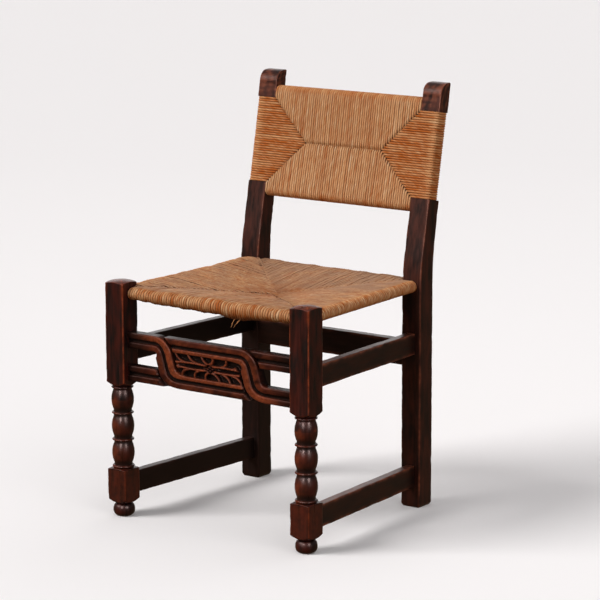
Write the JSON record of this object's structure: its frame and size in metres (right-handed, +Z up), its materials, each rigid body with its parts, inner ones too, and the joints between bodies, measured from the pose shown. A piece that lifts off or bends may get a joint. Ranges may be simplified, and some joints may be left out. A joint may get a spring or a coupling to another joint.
{
  "type": "rush seat chair",
  "caption": "Side chair with barrel-turned front legs, a pierced strapwork front rail carved with leaves, raked rear posts and a woven rush seat and back.",
  "frame": {"origin": "on the floor, midway between the front of the front legs and the back of the rear posts' heads, and midway between the chair's sides", "axes": "+Z up, -Y towards the front of the chair, +X towards the right as seen from the front"},
  "size_m": [0.49, 0.503, 0.838],
  "materials": {
    "dark_wood": "very dark brown stain under worn wax, satin, arrises rubbed to red-brown",
    "carved_wood": "red-brown stain rubbed on the crests, near black in the hollows, satin wax",
    "bare_wood": "plain sawn wood, no finish",
    "rush": "twisted natural rush, dry, slightly polished on top",
    "rush_stuffing": "loose dry rush offcuts"
  },
  "bodies": {
    "root": {"back_rail_bottom": "bare_wood", "back_rail_top": "bare_wood", "back_rush": "rush", "back_stuffing": "rush_stuffing", "carved_front_rail": "carved_wood", "front_leg_left": "dark_wood", "front_leg_right": "dark_wood", "lower_side_stretcher_left": "dark_wood", "lower_side_stretcher_right": "dark_wood", "rear_post_left": "dark_wood", "rear_post_right": "dark_wood", "seat_rail_front": "bare_wood", "seat_rail_left": "bare_wood", "seat_rail_rear": "bare_wood", "seat_rail_right": "bare_wood", "seat_rush": "rush", "seat_stuffing": "rush_stuffing", "upper_rear_stretcher": "dark_wood", "upper_side_stretcher_left": "dark_wood", "upper_side_stretcher_right": "dark_wood"}
  },
  "joints": []
}
